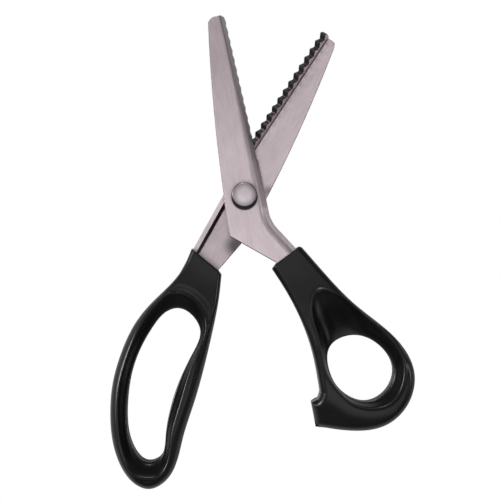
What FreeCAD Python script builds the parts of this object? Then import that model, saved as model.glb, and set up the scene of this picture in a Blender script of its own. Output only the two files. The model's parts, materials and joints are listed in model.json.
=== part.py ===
"""Pinking shears, lying flat and open.

Frame: the pivot axis is Z, +Y points to the blade tips, +X to the thumb handle's side, and
z = 0 is the surface that the shears lie on (the nut's end face and the undersides of both
handles).  Millimetres and degrees.

Each blade is built in its own frame, which has its plate above z = 0, its cutting edge to the
right of the pivot and parallel to +Y, and the plane z = 0 midway between the two blades.  The
front blade is turned about the pivot into place; the rear blade is first turned over about Y.
"""
import FreeCAD, Part
import math
import os
import Sketcher

V = FreeCAD.Vector
AXIS_Z = V(0, 0, 1)
AXIS_Y = V(0, 1, 0)

SIZES = {
    # stack of layers, measured from the surface that the shears lie on
    "mid_height": 9.5,
    "plate_gap": 7.0,
    "sheet_thickness": 2.0,
    "edge_clearance": 0.3,
    # open position: each cutting edge's angle from +Y
    "front_angle": 12.9,
    "rear_angle": 33.2,
    # blade plates
    "seam_offset": 8.0,
    # flange along the neck
    "flange_offset": 9.8,
    "flange_lean": 2.4,
    "flange_width": 2.2,
    # toothed strips
    "strip_start": 16.0,
    "front_strip_thickness": 1.9,
    "rear_strip_thickness": 2.9,
    "strip_edge_depth": 1.3,
    "strip_tip_radius": 1.8,
    "tooth_pitch": 4.76,
    "tooth_depth": 2.4,
    "tooth_flat": 0.4,
    "tooth_count": 14,
    "first_tooth_radius": 26.94,
    # pivot
    "shank_diameter": 6.0,
    "shank_play": 0.05,
    "head_diameter": 12.2,
    "head_height": 2.3,
    "head_edge_radius": 0.7,
    "bushing_diameter": 9.0,
    "friction_washer_thickness": 0.5,
    "friction_washer_diameter": 10.0,
    "spring_washer_thickness": 0.75,
    "spring_washer_diameter": 11.0,
    "nut_flats": 10.0,
    "nut_height": 3.2,
    # handles
    "handle_thickness": 19.0,
    "handle_edge_radius": 2.5,
}

doc = FreeCAD.newDocument("pinking_shears")
sheet = doc.addObject("Spreadsheet::Sheet", "Sizes")
for row, (alias, number) in enumerate(SIZES.items(), start=1):
    sheet.set(f"A{row}", alias)
    sheet.set(f"B{row}", str(number))
    sheet.setAlias(f"B{row}", alias)
doc.recompute()


def size(alias):
    """The number in the sheet's cell of that alias."""
    return float(sheet.get(alias))


# ---------------------------------------------------------------- helpers

def new_body(name):
    body = doc.addObject("PartDesign::Body", name)
    body.Label = name
    return body


def new_sketch(body, name, plane, height=None):
    """A sketch on one of the body's own origin planes, raised along its normal by an expression."""
    sketch = body.newObject("Sketcher::SketchObject", name)
    support = [part for part in body.Origin.OriginFeatures if part.Role == plane][0]
    sketch.AttachmentSupport = [(support, "")]
    sketch.MapMode = "FlatFace"
    if height:
        sketch.setExpression("AttachmentOffset.Base.z", height)
    return sketch


def pad(body, name, sketch, length):
    """Pad the sketch along its normal by an expression's length."""
    feature = body.newObject("PartDesign::Pad", name)
    feature.Profile = sketch
    feature.setExpression("Length", length)
    sketch.Visibility = False
    doc.recompute()
    return feature


def add_circle(sketch, diameter):
    """A circle about the sketch's origin, its diameter bound to an expression."""
    index = sketch.addGeometry(Part.Circle(V(0, 0, 0), AXIS_Z, 1.0), False)
    sketch.addConstraint(Sketcher.Constraint("Coincident", index, 3, -1, 1))
    bound = sketch.addConstraint(Sketcher.Constraint("Diameter", index, 2.0))
    sketch.setExpression(f"Constraints[{bound}]", diameter)


def add_polygon(sketch, corners):
    """Straight lines through the corners, closed."""
    points = flat(corners)
    sketch.addGeometry(straight(points + points[:1]), False)


def spline(points):
    """A smooth curve through the points."""
    curve = Part.BSplineCurve()
    curve.interpolate(flat(points))
    return curve


def fillet(body, name, radius, chosen):
    """Round the edges of the body's last feature that the function picks."""
    base = body.Tip
    edges = [f"Edge{number}" for number, edge in enumerate(base.Shape.Edges, start=1) if chosen(edge)]
    feature = body.newObject("PartDesign::Fillet", name)
    feature.Base = (base, edges)
    feature.setExpression("Radius", radius)
    doc.recompute()
    return feature


def cut_through(body, name, sketch):
    """Cut the sketch right through the body, to both sides of its plane."""
    before = body.Shape.Volume
    feature = body.newObject("PartDesign::Pocket", name)
    feature.Profile = sketch
    feature.Type = "ThroughAll"
    feature.Midplane = True
    sketch.Visibility = False
    doc.recompute()
    if body.Shape.Volume >= before:
        raise RuntimeError(f"{name} cuts nothing")


def straight(points):
    """Straight edges from point to point."""
    return [Part.LineSegment(a, b) for a, b in zip(points, points[1:])]


def flat(corners):
    """Points of the sketch plane from pairs of numbers."""
    return [V(x, y, 0) for x, y in corners]


# ---------------------------------------------------------------- blade plates

class NeckPath:
    """The flange's outer line: straight down the blade, one round bend, straight into the handle.

    ``corner`` is where the two straight runs would meet, ``turn`` the angle of the bend in
    degrees (positive towards the cutting side) and ``radius`` its radius.
    """

    def __init__(self, top, corner, turn, radius, length):
        self.top = V(*top, 0)
        self.corner = V(*corner, 0)
        self.down = (self.corner - self.top).normalize()
        self.turn = math.radians(turn)
        self.onward = FreeCAD.Rotation(AXIS_Z, turn).multVec(self.down)
        self.radius = radius
        self.end = self.corner + self.onward * length

    def offset(self, distance):
        """Start, bend start, bend middle, bend end and end of the line, moved inward."""
        inward = FreeCAD.Rotation(AXIS_Z, -90).multVec(self.down)
        inward_after = FreeCAD.Rotation(AXIS_Z, -90).multVec(self.onward)
        bisector = (inward + inward_after).normalize()
        corner = self.corner + bisector * (distance / math.cos(self.turn / 2))
        side = math.copysign(1, self.turn)
        radius = self.radius + side * distance
        tangent = radius * math.tan(abs(self.turn) / 2)
        sagitta = radius * (1 / math.cos(self.turn / 2) - 1)
        return [self.top + inward * distance,
                corner - self.down * tangent,
                corner - bisector * side * sagitta,
                corner + self.onward * tangent,
                self.end + inward_after * distance]

    def edges(self, distance):
        start, bend, peak, leave, end = self.offset(distance)
        return [Part.LineSegment(start, bend),
                Part.Arc(bend, peak, leave),
                Part.LineSegment(leave, end)]


def blade_plate(name, path, back, tip, tang):
    """A stamped plate with a leaning flange along its neck, and the tang that the handle holds.

    ``back`` is the back edge's two ends and its middle, ``tip`` the tip's two ends and middle,
    and ``tang`` the corners of the tang from the flange's end round to the back edge.
    """
    body = new_body(name)
    inner_face = "Sizes.plate_gap / 2"
    seam = size("seam_offset")
    flange_middle = size("flange_lean") + size("flange_width") / 2
    neck = path.offset(flange_middle)
    strip_start = V(seam, size("strip_start"), 0)

    outline = new_sketch(body, f"{name}_outline", "XY_Plane", inner_face)
    tang_points = [neck[-1]] + [V(x, y, 0) for x, y in tang]
    edges = [Part.Arc(V(*back[0], 0), V(*back[1], 0), V(*back[2], 0)),
             Part.Arc(V(*tip[0], 0), V(*tip[1], 0), V(*tip[2], 0)),
             Part.LineSegment(V(*tip[2], 0), strip_start),
             Part.LineSegment(strip_start, neck[0])]
    edges += path.edges(flange_middle)
    edges += [Part.LineSegment(a, b) for a, b in zip(tang_points, tang_points[1:])]
    edges.append(Part.LineSegment(tang_points[-1], V(*back[0], 0)))
    if back[2] != tip[0]:
        edges.append(Part.LineSegment(V(*back[2], 0), V(*tip[0], 0)))
    outline.addGeometry(edges, False)
    pad(body, f"{name}_plate", outline, "Sizes.sheet_thickness")

    lower = flange_band(body, f"{name}_flange_foot", path, 0.0, "Sizes.edge_clearance / 2")
    upper = flange_band(body, f"{name}_flange_top", path, size("flange_lean"),
                        "Sizes.plate_gap / 2 + Sizes.sheet_thickness")
    flange = body.newObject("PartDesign::AdditiveLoft", f"{name}_flange")
    flange.Profile = lower
    flange.Sections = [upper]
    flange.Ruled = True
    doc.recompute()
    return body


def flange_band(body, name, path, distance, height):
    """The flange's section parallel to the plate: a band along the neck's path."""
    sketch = new_sketch(body, name, "XY_Plane", height)
    outer = path.offset(distance)
    inner = path.offset(distance + size("flange_width"))
    edges = path.edges(distance)
    edges.append(Part.LineSegment(outer[-1], inner[-1]))
    edges += path.edges(distance + size("flange_width"))
    edges.append(Part.LineSegment(inner[0], outer[0]))
    sketch.addGeometry(edges, False)
    sketch.Visibility = False
    return sketch


FLANGE_START = (size("flange_offset") + 0.4, size("strip_start"))
FRONT_PATH = NeckPath(top=FLANGE_START, corner=(size("flange_offset"), -15.6), turn=30.0, radius=17.0,
                      length=36.0)
REAR_PATH = NeckPath(top=FLANGE_START, corner=(8.9, -5.5), turn=-4.0, radius=60.0, length=54.0)

front_blade = blade_plate("front_blade", FRONT_PATH,
                          back=[(-11.6, -18.4), (-6.3, 38.0), (1.3, 86.3)],
                          tip=[(1.3, 86.3), (4.6, 88.7), (8.0, 88.7)],
                          tang=[(15.0, -46.0), (7.3, -35.7)])
rear_blade = blade_plate("rear_blade", REAR_PATH,
                         back=[(-12.0, -19.5), (-5.3, 42.0), (2.9, 86.2)],
                         tip=[(3.9, 88.3), (6.0, 88.7), (8.0, 88.7)],
                         tang=[(-3.0, -60.0), (-9.5, -38.1)])


def neck_square(sketch):
    """The bolt's square neck, as wide as its shank."""
    half = size("shank_diameter") / 2
    add_polygon(sketch, [(-half, -half), (half, -half), (half, half), (-half, half)])


def running_bore(sketch):
    add_circle(sketch, "Sizes.shank_diameter + 2 * Sizes.shank_play")


def pivot_hole(blade, draw):
    """Cut the pivot hole; ``draw`` puts its outline in a sketch."""
    sketch = new_sketch(blade, f"{blade.Label}_hole_outline", "XY_Plane")
    draw(sketch)
    cut_through(blade, f"{blade.Label}_pivot_hole", sketch)


pivot_hole(front_blade, neck_square)
pivot_hole(rear_blade, running_bore)


# ---------------------------------------------------------------- toothed strips

def ring_cutter(name, side):
    """A ring whose top is corrugated in circles about the pivot.

    Both strips are cut to the same circles, so they mesh at every angle.  ``side`` is 1 for the
    front blade, which keeps what lies above the corrugation, and -1 for the turned-over rear
    blade, whose tooth tips are the front blade's roots.
    """
    pitch = size("tooth_pitch")
    half_flat = size("tooth_flat") / 2
    height = size("tooth_depth") / 2 * side
    level = size("edge_clearance") / 2
    bottom = -2 * size("plate_gap")
    inner = size("first_tooth_radius") - pitch / 4
    profile = [(inner / 2, bottom), (inner / 2, level), (inner, level)]
    for tooth in range(int(size("tooth_count"))):
        crest = size("first_tooth_radius") + tooth * pitch
        root = crest + pitch / 2
        profile += [(crest - half_flat, level + height), (crest + half_flat, level + height),
                    (root - half_flat, level - height), (root + half_flat, level - height)]
    outer = profile[-1][0] + 2 * pitch
    profile += [(outer, level - height), (outer, bottom), (inner / 2, bottom)]
    wire = Part.makePolygon([V(radius, 0, z) for radius, z in profile])
    cutter = doc.addObject("Part::Feature", name)
    cutter.Shape = Part.makeSolid(Part.Face(wire).revolve(V(0, 0, 0), AXIS_Z, 360))
    return cutter


def round_off_tip(blank, name, edge, tip):
    """Cut the corner between the cutting edge and the tip's end to a quarter circle, in plan."""
    radius = size("strip_tip_radius")
    margin = 2 * radius
    start = V(edge - radius, tip, 0)
    end = V(edge, tip - radius, 0)
    peak = V(edge - radius + radius * math.sin(math.radians(45)),
             tip - radius + radius * math.cos(math.radians(45)), 0)
    corners = [end, V(edge + margin, end.y, 0), V(edge + margin, tip + margin, 0),
               V(start.x, tip + margin, 0), start]
    sketch = new_sketch(blank, f"{name}_outline", "XY_Plane")
    sketch.addGeometry([Part.Arc(start, peak, end)] + straight(corners), False)
    cut_through(blank, name, sketch)


def tooth_strip(name, section, tip, side):
    """A bar of the given section (distance from the pivot line, height) with a toothed edge."""
    blank = new_body(f"{name}_blank")
    sketch = new_sketch(blank, f"{name}_section", "XZ_Plane", f"-{tip} mm")
    add_polygon(sketch, section)
    pad(blank, f"{name}_bar", sketch, f"{tip} - Sizes.strip_start")

    round_off_tip(blank, f"{name}_tip", max(section)[0], tip)
    strip = doc.addObject("Part::Cut", name)
    strip.Base = blank
    strip.Tool = ring_cutter(f"{name}_cutter", side)
    doc.recompute()
    if strip.Shape.Volume >= blank.Shape.Volume:
        raise RuntimeError(f"{name}: the teeth cut nothing")
    return strip


PLATE_INNER = size("plate_gap") / 2
PLATE_OUTER = PLATE_INNER + size("sheet_thickness")
SEAM = size("seam_offset")
FRONT_STRIP = size("front_strip_thickness")
REAR_STRIP = size("rear_strip_thickness")
STRIP_DEPTH = size("strip_edge_depth")

front_tooth_strip = tooth_strip(
    "front_tooth_strip",
    section=[(SEAM, PLATE_OUTER), (9.7, 2.0), (10.3, -STRIP_DEPTH), (10.3 - FRONT_STRIP, -STRIP_DEPTH),
             (SEAM, 1.4), (SEAM, PLATE_INNER)],
    tip=88.5, side=1)
rear_tooth_strip = tooth_strip(
    "rear_tooth_strip",
    section=[(SEAM, PLATE_OUTER), (9.4, 5.2), (11.6, 1.2), (12.7, -STRIP_DEPTH),
             (12.7 - REAR_STRIP, -STRIP_DEPTH), (9.0, 1.2), (SEAM, PLATE_INNER)],
    tip=89.4, side=-1)


# ---------------------------------------------------------------- blades into place

def place_front(item):
    """The front blade's frame: raised to the mid height and turned to its open angle."""
    item.setExpression("Placement.Base.z", "Sizes.mid_height")
    item.setExpression("Placement.Rotation.Angle", "Sizes.front_angle")


def place_rear(item):
    """The rear blade's frame: turned over about Y, then turned the other way about the pivot."""
    over = FreeCAD.Rotation(AXIS_Y, 180)
    turned = FreeCAD.Rotation(AXIS_Z, -size("rear_angle"))
    item.Placement = FreeCAD.Placement(V(0, 0, size("mid_height")), turned * over)


for item in (front_blade, front_tooth_strip):
    place_front(item)
for item in (rear_blade, rear_tooth_strip):
    place_rear(item)
doc.recompute()


# ---------------------------------------------------------------- pivot hardware

def round_piece(name, profile, base_height):
    """A body turned about the pivot axis from a closed profile of (radius, height) corners."""
    body = new_body(name)
    sketch = new_sketch(body, f"{name}_profile", "XZ_Plane")
    add_polygon(sketch, profile)
    turned = body.newObject("PartDesign::Revolution", f"{name}_turned")
    turned.Profile = sketch
    turned.ReferenceAxis = (sketch, ["V_Axis"])
    turned.Angle = 360
    sketch.Visibility = False
    body.setExpression("Placement.Base.z", base_height)
    doc.recompute()
    return body


def collar(name, diameter, length, base_height):
    """A plain ring round the shank."""
    body = new_body(name)
    sketch = new_sketch(body, f"{name}_outline", "XY_Plane")
    add_circle(sketch, diameter)
    add_circle(sketch, "Sizes.shank_diameter + 2 * Sizes.shank_play")
    pad(body, f"{name}_ring", sketch, length)
    body.setExpression("Placement.Base.z", base_height)
    doc.recompute()
    return body


def pivot_bolt_body():
    """Round head, square neck as long as the sheet is thick, and a plain shank down to z = 0."""
    body = new_body("pivot_bolt")
    head = new_sketch(body, "bolt_head_outline", "XY_Plane")
    add_circle(head, "Sizes.head_diameter")
    pad(body, "bolt_head", head, "Sizes.head_height")
    neck = new_sketch(body, "bolt_neck_outline", "XY_Plane")
    neck_square(neck)
    pad(body, "bolt_neck", neck, "Sizes.sheet_thickness").Reversed = True
    shank = new_sketch(body, "bolt_shank_outline", "XY_Plane")
    add_circle(shank, "Sizes.shank_diameter")
    pad(body, "bolt_shank", shank,
        "Sizes.mid_height + Sizes.plate_gap / 2 + Sizes.sheet_thickness").Reversed = True
    doc.recompute()
    top = size("head_height")
    fillet(body, "bolt_head_edge", "Sizes.head_edge_radius",
           lambda edge: abs(edge.BoundBox.ZMin - top) < 0.01)
    body.setExpression("Placement.Base.z",
                       "Sizes.mid_height + Sizes.plate_gap / 2 + Sizes.sheet_thickness")
    body.setExpression("Placement.Rotation.Angle", "Sizes.front_angle")
    doc.recompute()
    return body


def pivot_nut_body():
    """A thin hexagon nut; its lower face lies on the surface that the shears rest on."""
    body = new_body("pivot_nut")
    sketch = new_sketch(body, "nut_outline", "XY_Plane")
    corner_radius = size("nut_flats") / 2 / math.cos(math.radians(30))
    angles = [math.radians(60 * step) for step in range(6)]
    add_polygon(sketch, [(corner_radius * math.cos(a), corner_radius * math.sin(a)) for a in angles])
    add_circle(sketch, "Sizes.shank_diameter")
    pad(body, "nut_hexagon", sketch, "Sizes.nut_height")
    return body


pivot_bolt = pivot_bolt_body()
pivot_nut = pivot_nut_body()
friction_washer = collar("friction_washer", "Sizes.friction_washer_diameter",
                         "Sizes.friction_washer_thickness",
                         "Sizes.mid_height - Sizes.plate_gap / 2 + Sizes.shank_play")
pivot_bushing = collar("pivot_bushing", "Sizes.bushing_diameter",
                       "Sizes.plate_gap - Sizes.friction_washer_thickness - Sizes.shank_play",
                       "Sizes.mid_height - Sizes.plate_gap / 2 + Sizes.friction_washer_thickness"
                       " + Sizes.shank_play")
bore = size("shank_diameter") / 2 + size("shank_play")
rim = size("spring_washer_diameter") / 2
washer = size("spring_washer_thickness")
spring_washer = round_piece(
    "spring_washer",
    profile=[(bore, washer / 3), (rim, 0), (rim, washer * 2 / 3), (bore, washer)],
    base_height="Sizes.nut_height")


# ---------------------------------------------------------------- handles

def handle_body(name, outline, hole):
    """A moulding of even thickness with rounded edges; ``outline`` is a list of sketch edges."""
    body = new_body(f"{name}_moulding")
    sketch = new_sketch(body, f"{name}_outline", "XY_Plane")
    sketch.addGeometry(outline, False)
    bow = Part.BSplineCurve()
    bow.interpolate(Points=flat(hole), PeriodicFlag=True)
    sketch.addGeometry(bow, False)
    pad(body, f"{name}_block", sketch, "Sizes.handle_thickness")

    def is_curved_rim(edge):
        return edge.BoundBox.ZLength < 0.01 and edge.Curve.TypeId != "Part::GeomLine"

    fillet(body, f"{name}_rounded", "Sizes.handle_edge_radius", is_curved_rim)
    return body


def handle(name, moulding, blade):
    """The moulding with a socket of the tang's own shape."""
    cut = doc.addObject("Part::Cut", name)
    cut.Base = moulding
    cut.Tool = blade
    doc.recompute()
    return cut


FINGER_OUTSIDE = [(-26.0, -26.5), (-31.4, -37.9), (-46.1, -53.5), (-54.4, -64.1), (-60.9, -78.1),
                  (-65.0, -92.8), (-66.2, -107.6), (-65.0, -121.6), (-60.9, -133.8), (-54.3, -142.3),
                  (-47.8, -145.1), (-37.9, -140.0), (-30.9, -121.6), (-25.2, -103.5), (-20.1, -85.4),
                  (-15.7, -66.6), (-12.9, -51.8), (-11.5, -39.5)]
FINGER_BOW = [(-33.0, -55.9), (-24.0, -61.6), (-21.9, -66.6), (-25.6, -78.1), (-33.8, -96.1),
              (-37.1, -107.6), (-38.8, -118.3), (-42.2, -130.0), (-47.8, -131.8), (-55.1, -124.8),
              (-58.0, -114.2), (-58.0, -101.0), (-56.0, -87.9), (-51.9, -76.4), (-45.3, -64.9),
              (-39.6, -58.4)]
THUMB_OUTSIDE = [(28.2, -25.8), (33.9, -32.3), (54.7, -54.2), (65.2, -62.5), (77.0, -73.6),
                 (83.6, -87.5), (81.1, -102.1), (69.3, -113.9), (54.1, -116.6), (35.2, -114.6)]
BEAK_END = [(35.2, -114.6), (32.9, -102.4)]
BEAK_TOP = [(32.9, -102.4), (35.6, -101.2), (37.3, -97.2)]
THUMB_INSIDE = [(37.3, -97.2), (34.6, -81.9), (31.5, -70.8), (27.0, -59.7), (21.4, -48.9), (13.6, -36.6)]
THUMB_BOW = [(54.1, -69.3), (66.6, -74.3), (73.5, -85.4), (70.7, -95.8), (60.3, -102.1),
             (49.9, -98.6), (41.6, -85.4), (42.3, -75.0)]
FINGER_MOUTH = [(-11.5, -39.5), (-13.3, -37.0), (-26.0, -26.5)]
THUMB_MOUTH = [(13.6, -36.6), (15.5, -34.0), (26.8, -25.5), (28.2, -25.8)]


finger_outline = [spline(FINGER_OUTSIDE)] + straight(flat(FINGER_MOUTH))
finger_moulding = handle_body("finger_handle", finger_outline, FINGER_BOW)
thumb_outline = [spline(THUMB_OUTSIDE)] + straight(flat(BEAK_END))
thumb_outline += [spline(BEAK_TOP), spline(THUMB_INSIDE)] + straight(flat(THUMB_MOUTH))
thumb_moulding = handle_body("thumb_handle", thumb_outline, THUMB_BOW)
finger_handle = handle("finger_handle", finger_moulding, rear_blade)
thumb_handle = handle("thumb_handle", thumb_moulding, front_blade)


# ---------------------------------------------------------------- checks and export

SUB_PARTS = [front_blade, front_tooth_strip, thumb_handle, pivot_bolt, pivot_bushing, friction_washer,
             spring_washer, pivot_nut, rear_blade, rear_tooth_strip, finger_handle]

doc.recompute()
for item in doc.Objects:
    if "Invalid" in item.State or "Error" in item.State:
        raise RuntimeError(f"{item.Name} failed: {item.getStatusString()}")
for item in SUB_PARTS:
    if item.Shape.isNull() or not item.Shape.isValid() or len(item.Shape.Solids) != 1:
        raise RuntimeError(f"{item.Label} isn't one valid solid")

os.makedirs("parts", exist_ok=True)
for item in SUB_PARTS:
    item.Shape.exportStep(os.path.join("parts", f"{item.Label}.step"))
    print(item.Label, round(item.Shape.Volume, 1))
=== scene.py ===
import json
import math

import bpy
import mathutils
import numpy as np
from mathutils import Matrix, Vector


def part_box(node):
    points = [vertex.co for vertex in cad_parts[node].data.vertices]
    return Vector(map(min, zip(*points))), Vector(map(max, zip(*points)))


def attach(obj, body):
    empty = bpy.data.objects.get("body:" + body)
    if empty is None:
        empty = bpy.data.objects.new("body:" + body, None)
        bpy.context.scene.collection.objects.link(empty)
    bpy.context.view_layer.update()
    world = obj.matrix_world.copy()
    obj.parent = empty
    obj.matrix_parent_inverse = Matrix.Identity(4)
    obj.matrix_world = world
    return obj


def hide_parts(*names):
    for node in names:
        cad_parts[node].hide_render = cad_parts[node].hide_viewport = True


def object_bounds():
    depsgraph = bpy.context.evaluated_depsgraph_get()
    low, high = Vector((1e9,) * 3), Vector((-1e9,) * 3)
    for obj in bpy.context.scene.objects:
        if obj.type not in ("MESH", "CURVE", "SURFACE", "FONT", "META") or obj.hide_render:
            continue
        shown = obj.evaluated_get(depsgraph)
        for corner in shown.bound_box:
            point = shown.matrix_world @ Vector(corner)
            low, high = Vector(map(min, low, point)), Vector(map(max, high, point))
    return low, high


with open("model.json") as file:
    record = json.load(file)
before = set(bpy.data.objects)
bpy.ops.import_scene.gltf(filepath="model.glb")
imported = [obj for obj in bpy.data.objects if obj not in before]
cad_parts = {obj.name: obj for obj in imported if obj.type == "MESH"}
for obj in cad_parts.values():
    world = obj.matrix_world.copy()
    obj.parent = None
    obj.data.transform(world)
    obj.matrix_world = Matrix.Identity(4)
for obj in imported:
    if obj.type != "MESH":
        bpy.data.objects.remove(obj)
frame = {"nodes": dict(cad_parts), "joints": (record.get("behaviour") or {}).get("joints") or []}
CAD_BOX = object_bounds()

MM = 0.001                      # metres in a millimetre: shapes are worked out in millimetres

# ------------------------------------------------------------------ places read from the frame

PIVOT = np.array(frame["joints"][0]["pos_m"][:2]) / MM
PLATE_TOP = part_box("front_blade")[1][2] / MM
PLATE_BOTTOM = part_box("rear_blade")[0][2] / MM
MID_HEIGHT = (PLATE_TOP + PLATE_BOTTOM) / 2
HANDLE_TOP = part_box("thumb_handle")[1][2] / MM
HANDLE_HALF = HANDLE_TOP - MID_HEIGHT

# ------------------------------------------------------------------ outlines of the two handles
# Plan points (x, y) in millimetres.  The outline of each handle is its sides and its mouth, where
# the tang goes in.  The ridge runs round the bow, and the hole is the bow's inner edge.

FINGER_OUTSIDE = [(-26.0, -26.5), (-31.4, -37.9), (-46.1, -53.5), (-54.4, -64.1), (-60.9, -78.1),
                  (-65.0, -92.8), (-66.2, -107.6), (-65.0, -121.6), (-60.9, -133.8), (-54.3, -142.3),
                  (-47.8, -145.1), (-37.9, -140.0), (-30.9, -121.6), (-25.2, -103.5), (-20.1, -85.4),
                  (-15.7, -66.6), (-12.9, -51.8), (-11.5, -39.5)]
FINGER_MOUTH = [(-11.5, -39.5), (-13.3, -37.0), (-26.0, -26.5)]
FINGER_RIDGE = [(-40.4, -50.2), (-30.5, -48.9), (-22.3, -55.1), (-19.1, -61.7), (-19.1, -68.2),
                (-24.4, -80.6), (-30.5, -100.3), (-35.9, -120.0), (-37.9, -132.3), (-42.0, -138.0),
                (-48.0, -138.9), (-55.1, -137.2), (-60.0, -128.5), (-62.2, -113.0), (-61.8, -96.0),
                (-58.6, -82.5), (-52.7, -66.6), (-46.0, -55.5)]
FINGER_HOLE = [(-33.0, -55.9), (-24.0, -61.6), (-21.9, -66.6), (-25.6, -78.1), (-33.8, -96.1),
               (-37.1, -107.6), (-38.8, -118.3), (-42.2, -130.0), (-47.8, -131.8), (-55.1, -124.8),
               (-58.0, -114.2), (-58.0, -101.0), (-56.0, -87.9), (-51.9, -76.4), (-45.3, -64.9),
               (-39.6, -58.4)]
FINGER_CENTRE = [(-31.0, -69.0), (-48.0, -119.0)]

THUMB_OUTSIDE = [(28.2, -25.8), (33.9, -32.3), (54.7, -54.2), (65.2, -62.5), (77.0, -73.6),
                 (83.6, -87.5), (81.1, -102.1), (69.3, -113.9), (54.1, -116.6), (35.2, -114.6)]
THUMB_BEAK_END = [(35.2, -114.6), (32.9, -102.4)]
THUMB_BEAK_TOP = [(32.9, -102.4), (35.6, -101.2), (37.3, -97.2)]
THUMB_INSIDE = [(37.3, -97.2), (34.6, -81.9), (31.5, -70.8), (27.0, -59.7), (21.4, -48.9),
                (13.6, -36.6)]
THUMB_MOUTH = [(13.6, -36.6), (15.5, -34.0), (26.8, -25.5), (28.2, -25.8)]
THUMB_RIDGE = [(36.7, -46.8), (41.5, -47.4), (51.3, -52.7), (61.7, -61.8), (72.1, -68.7),
               (77.7, -79.8), (78.4, -85.3), (76.3, -95.8), (71.4, -102.0), (62.4, -104.4),
               (52.7, -102.0), (47.1, -97.2), (40.2, -87.5), (38.0, -78.0), (35.3, -66.8),
               (33.2, -54.0)]
THUMB_HOLE = [(54.1, -69.3), (66.6, -74.3), (73.5, -85.4), (70.7, -95.8), (60.3, -102.1),
              (49.9, -98.6), (41.6, -85.4), (42.3, -75.0)]
THUMB_CENTRE = [(56.5, -84.5), (58.0, -87.0)]

# ------------------------------------------------------------------ curves


def spline(points, closed=False, step=0.4):
    """Points every ``step`` along the smoothest curve through the given ones.

    A cubic spline over the chord length: between neighbours the curve is a cubic, and its
    second derivatives come from one linear system that makes slope and bend continuous.
    """
    knots = np.array(points, float)
    if closed:
        knots = np.vstack([knots, knots[:1]])
    gaps = np.linalg.norm(np.diff(knots, axis=0), axis=1)
    at = np.concatenate([[0.0], np.cumsum(gaps)])
    count = len(knots)
    slopes = np.diff(knots, axis=0) / gaps[:, None]
    matrix = np.eye(count)
    right = np.zeros((count, 2))
    inner = np.arange(1, count - 1)
    matrix[inner, inner - 1] = gaps[:-1]
    matrix[inner, inner] = 2 * (gaps[:-1] + gaps[1:])
    matrix[inner, inner + 1] = gaps[1:]
    right[inner] = 6 * np.diff(slopes, axis=0)
    if closed:
        matrix[0, [0, -1]] = [1, -1]
        matrix[-1] = 0
        matrix[-1, [0, 1, -2, -1]] = [2 * gaps[0], gaps[0], gaps[-1], 2 * gaps[-1]]
        right[-1] = 6 * (slopes[0] - slopes[-1])
    bends = np.linalg.solve(matrix, right)
    where = np.linspace(0, at[-1], max(2, int(round(at[-1] / step))) + 1)
    piece = np.clip(np.searchsorted(at, where, side="right") - 1, 0, count - 2)
    gap = gaps[piece][:, None]
    a = (at[piece + 1] - where)[:, None] / gap
    b = 1 - a
    curve = (a * knots[piece] + b * knots[piece + 1]
             + ((a ** 3 - a) * bends[piece] + (b ** 3 - b) * bends[piece + 1]) * gap ** 2 / 6)
    return curve[:-1] if closed else curve


def straight(points, step=0.4):
    """Points every ``step`` along straight runs from corner to corner."""
    runs = []
    for start, end in zip(points, points[1:]):
        start, end = np.array(start), np.array(end)
        count = max(2, int(round(np.linalg.norm(end - start) / step)) + 1)
        runs.append(start + np.linspace(0, 1, count)[:, None] * (end - start))
    return join(*runs)


def join(*runs):
    """Runs end to end, without the doubled points where they meet."""
    return np.vstack([runs[0]] + [run[1:] for run in runs[1:]])


def nearest(points, curve, closed):
    """For each point: its distance to the curve, and how far along the curve its foot lies.

    The foot on every straight piece of the curve is the clamped projection; the nearest of
    them counts.  Points go through in blocks, each a whole-array computation.
    """
    ends = np.roll(curve, -1, axis=0) if closed else curve[1:]
    starts = curve if closed else curve[:-1]
    run = ends - starts
    length = np.linalg.norm(run, axis=1)
    along = np.concatenate([[0.0], np.cumsum(length)[:-1]])
    flat = points.reshape(-1, 2)
    distance = np.empty(len(flat))
    place = np.empty(len(flat))
    for block in np.array_split(np.arange(len(flat)), max(1, len(flat) // 2000)):
        to_point = flat[block][:, None, :] - starts[None]
        share = np.clip((to_point * run).sum(2) / (length ** 2 + 1e-12), 0, 1)
        gap = to_point - share[..., None] * run
        squared = (gap ** 2).sum(2)
        best = squared.argmin(1)
        rows = np.arange(len(block))
        distance[block] = np.sqrt(squared[rows, best])
        place[block] = along[best] + share[rows, best] * length[best]
    return distance.reshape(points.shape[:-1]), place.reshape(points.shape[:-1])


def ray_reach(origins, directions, line):
    """For each ray, the farthest crossing with a line of straight pieces, in direction lengths.

    Ray and piece cross where two pairs of linear equations agree; the determinants give both.
    """
    piece = np.diff(line, axis=0)
    gap = line[None, :-1] - origins[:, None]
    cross = directions[:, None, 0] * piece[None, :, 1] - directions[:, None, 1] * piece[None, :, 0]
    cross = np.where(np.abs(cross) < 1e-12, 1e-12, cross)
    along_ray = (gap[..., 0] * piece[None, :, 1] - gap[..., 1] * piece[None, :, 0]) / cross
    along_piece = (gap[..., 0] * directions[:, None, 1] - gap[..., 1] * directions[:, None, 0]) / cross
    hit = (along_piece >= -1e-9) & (along_piece <= 1 + 1e-9) & (along_ray > 0)
    return np.where(hit, along_ray, 0).max(1)


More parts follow.
